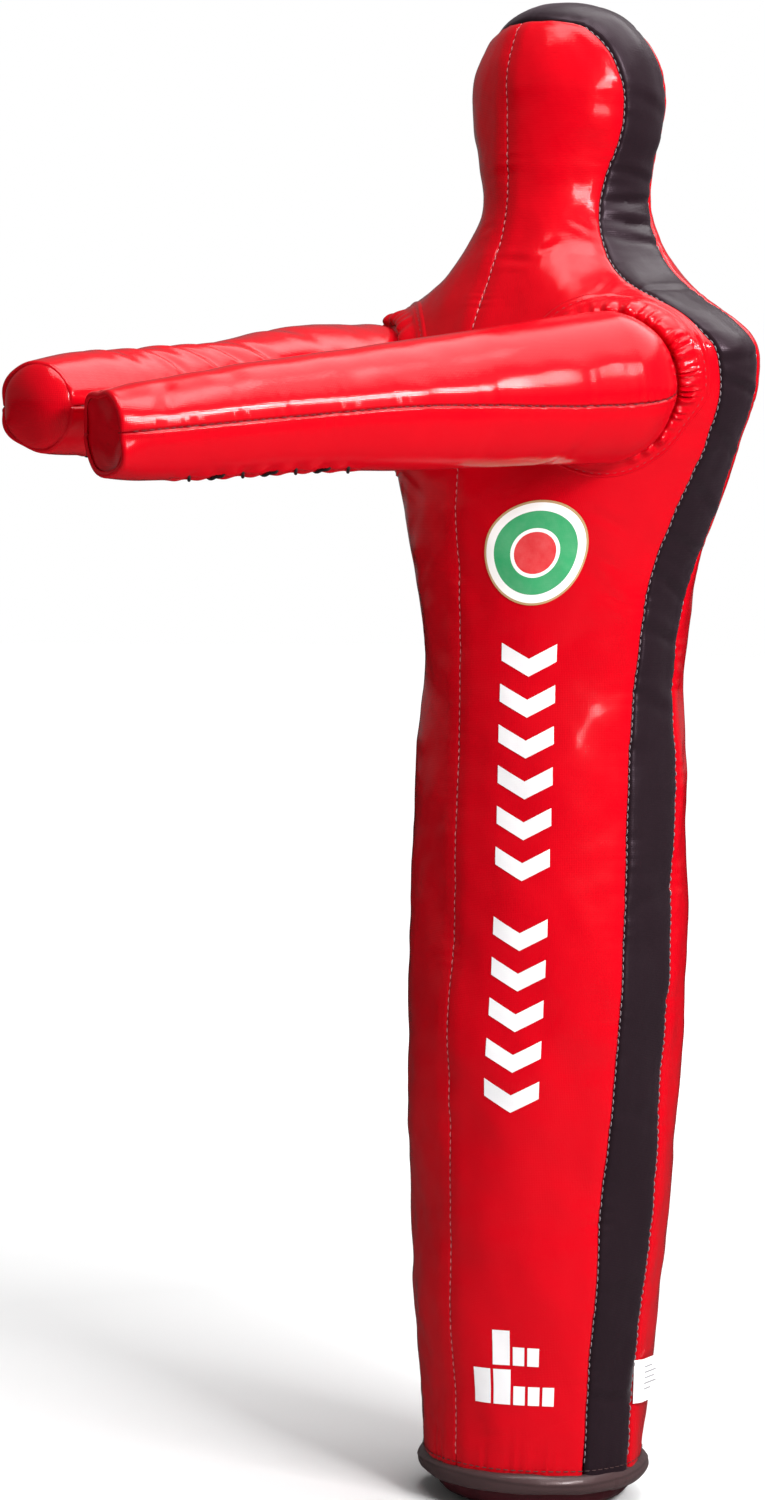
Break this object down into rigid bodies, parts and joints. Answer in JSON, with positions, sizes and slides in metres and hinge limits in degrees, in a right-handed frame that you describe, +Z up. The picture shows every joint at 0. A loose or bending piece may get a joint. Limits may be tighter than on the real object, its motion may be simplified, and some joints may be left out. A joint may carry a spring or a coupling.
{
  "type": "body opponent mannequin",
  "caption": "Legless stuffed throwing dummy: sewn trunk with head, dark side strip, flat base, and two laced arms reaching forward on flexible roots.",
  "frame": {"origin": "centre of the flat base", "axes": "+Z up along the trunk, -Y the way the face and arms point, +X the dummy's left"},
  "size_m": [0.3238, 0.5202, 0.9999],
  "materials": {
    "red_cover": "gloss",
    "dark_cover": "satin",
    "binding": "satin",
    "base_fabric": "satin",
    "lace": "matte",
    "filling": "matte",
    "badge": "satin",
    "label": "matte"
  },
  "bodies": {
    "torso": {"torso_filling": "filling", "front_panel_left": "red_cover", "front_panel_right": "red_cover", "back_panel_left": "red_cover", "back_panel_right": "red_cover", "side_strip_left": "dark_cover", "side_strip_right": "dark_cover", "bottom_panel": "base_fabric", "bottom_binding": "binding", "care_label": "label", "chest_badge": "badge", "shoulder_ring_left": "red_cover", "shoulder_ring_right": "red_cover"},
    "head": {"head_filling": "filling", "face_panel_left": "red_cover", "face_panel_right": "red_cover", "head_back_panel_left": "red_cover", "head_back_panel_right": "red_cover", "head_strip": "dark_cover"},
    "arm_root_left": {"arm_root_gathers_left": "red_cover"},
    "arm_left": {"arm_filling_left": "filling", "arm_upper_panel_left": "red_cover", "arm_lower_panel_left": "red_cover", "arm_end_cap_left": "red_cover", "arm_lace_left": "lace"},
    "arm_root_right": {"arm_root_gathers_right": "red_cover"},
    "arm_right": {"arm_filling_right": "filling", "arm_upper_panel_right": "red_cover", "arm_lower_panel_right": "red_cover", "arm_end_cap_right": "red_cover", "arm_lace_right": "lace"}
  },
  "joints": [
    {"name": "neck_nod", "type": "hinge", "parent": "torso", "child": "head", "pos_m": [0, 0, 0.862], "axis": [1, 0, 0], "range_deg": [-20, 25], "stiffness_Nm_per_rad": 15},
    {"name": "arm_spread_left", "type": "hinge", "parent": "torso", "child": "arm_root_left", "pos_m": [0.10396, -0.09681, 0.73755], "axis": [0, 0, 1], "range_deg": [0, 32], "stiffness_Nm_per_rad": 12},
    {"name": "arm_raise_left", "type": "hinge", "parent": "arm_root_left", "child": "arm_left", "pos_m": [0.10396, -0.09681, 0.73755], "axis": [-0.9744, 0.225, 0], "range_deg": [-40, 40], "stiffness_Nm_per_rad": 25},
    {"name": "arm_spread_right", "type": "hinge", "parent": "torso", "child": "arm_root_right", "pos_m": [-0.10393, -0.09697, 0.73918], "axis": [0, 0, -1], "range_deg": [0, 32], "stiffness_Nm_per_rad": 12},
    {"name": "arm_raise_right", "type": "hinge", "parent": "arm_root_right", "child": "arm_right", "pos_m": [-0.10393, -0.09697, 0.73918], "axis": [-0.9744, -0.225, 0], "range_deg": [-40, 40], "stiffness_Nm_per_rad": 25}
  ]
}
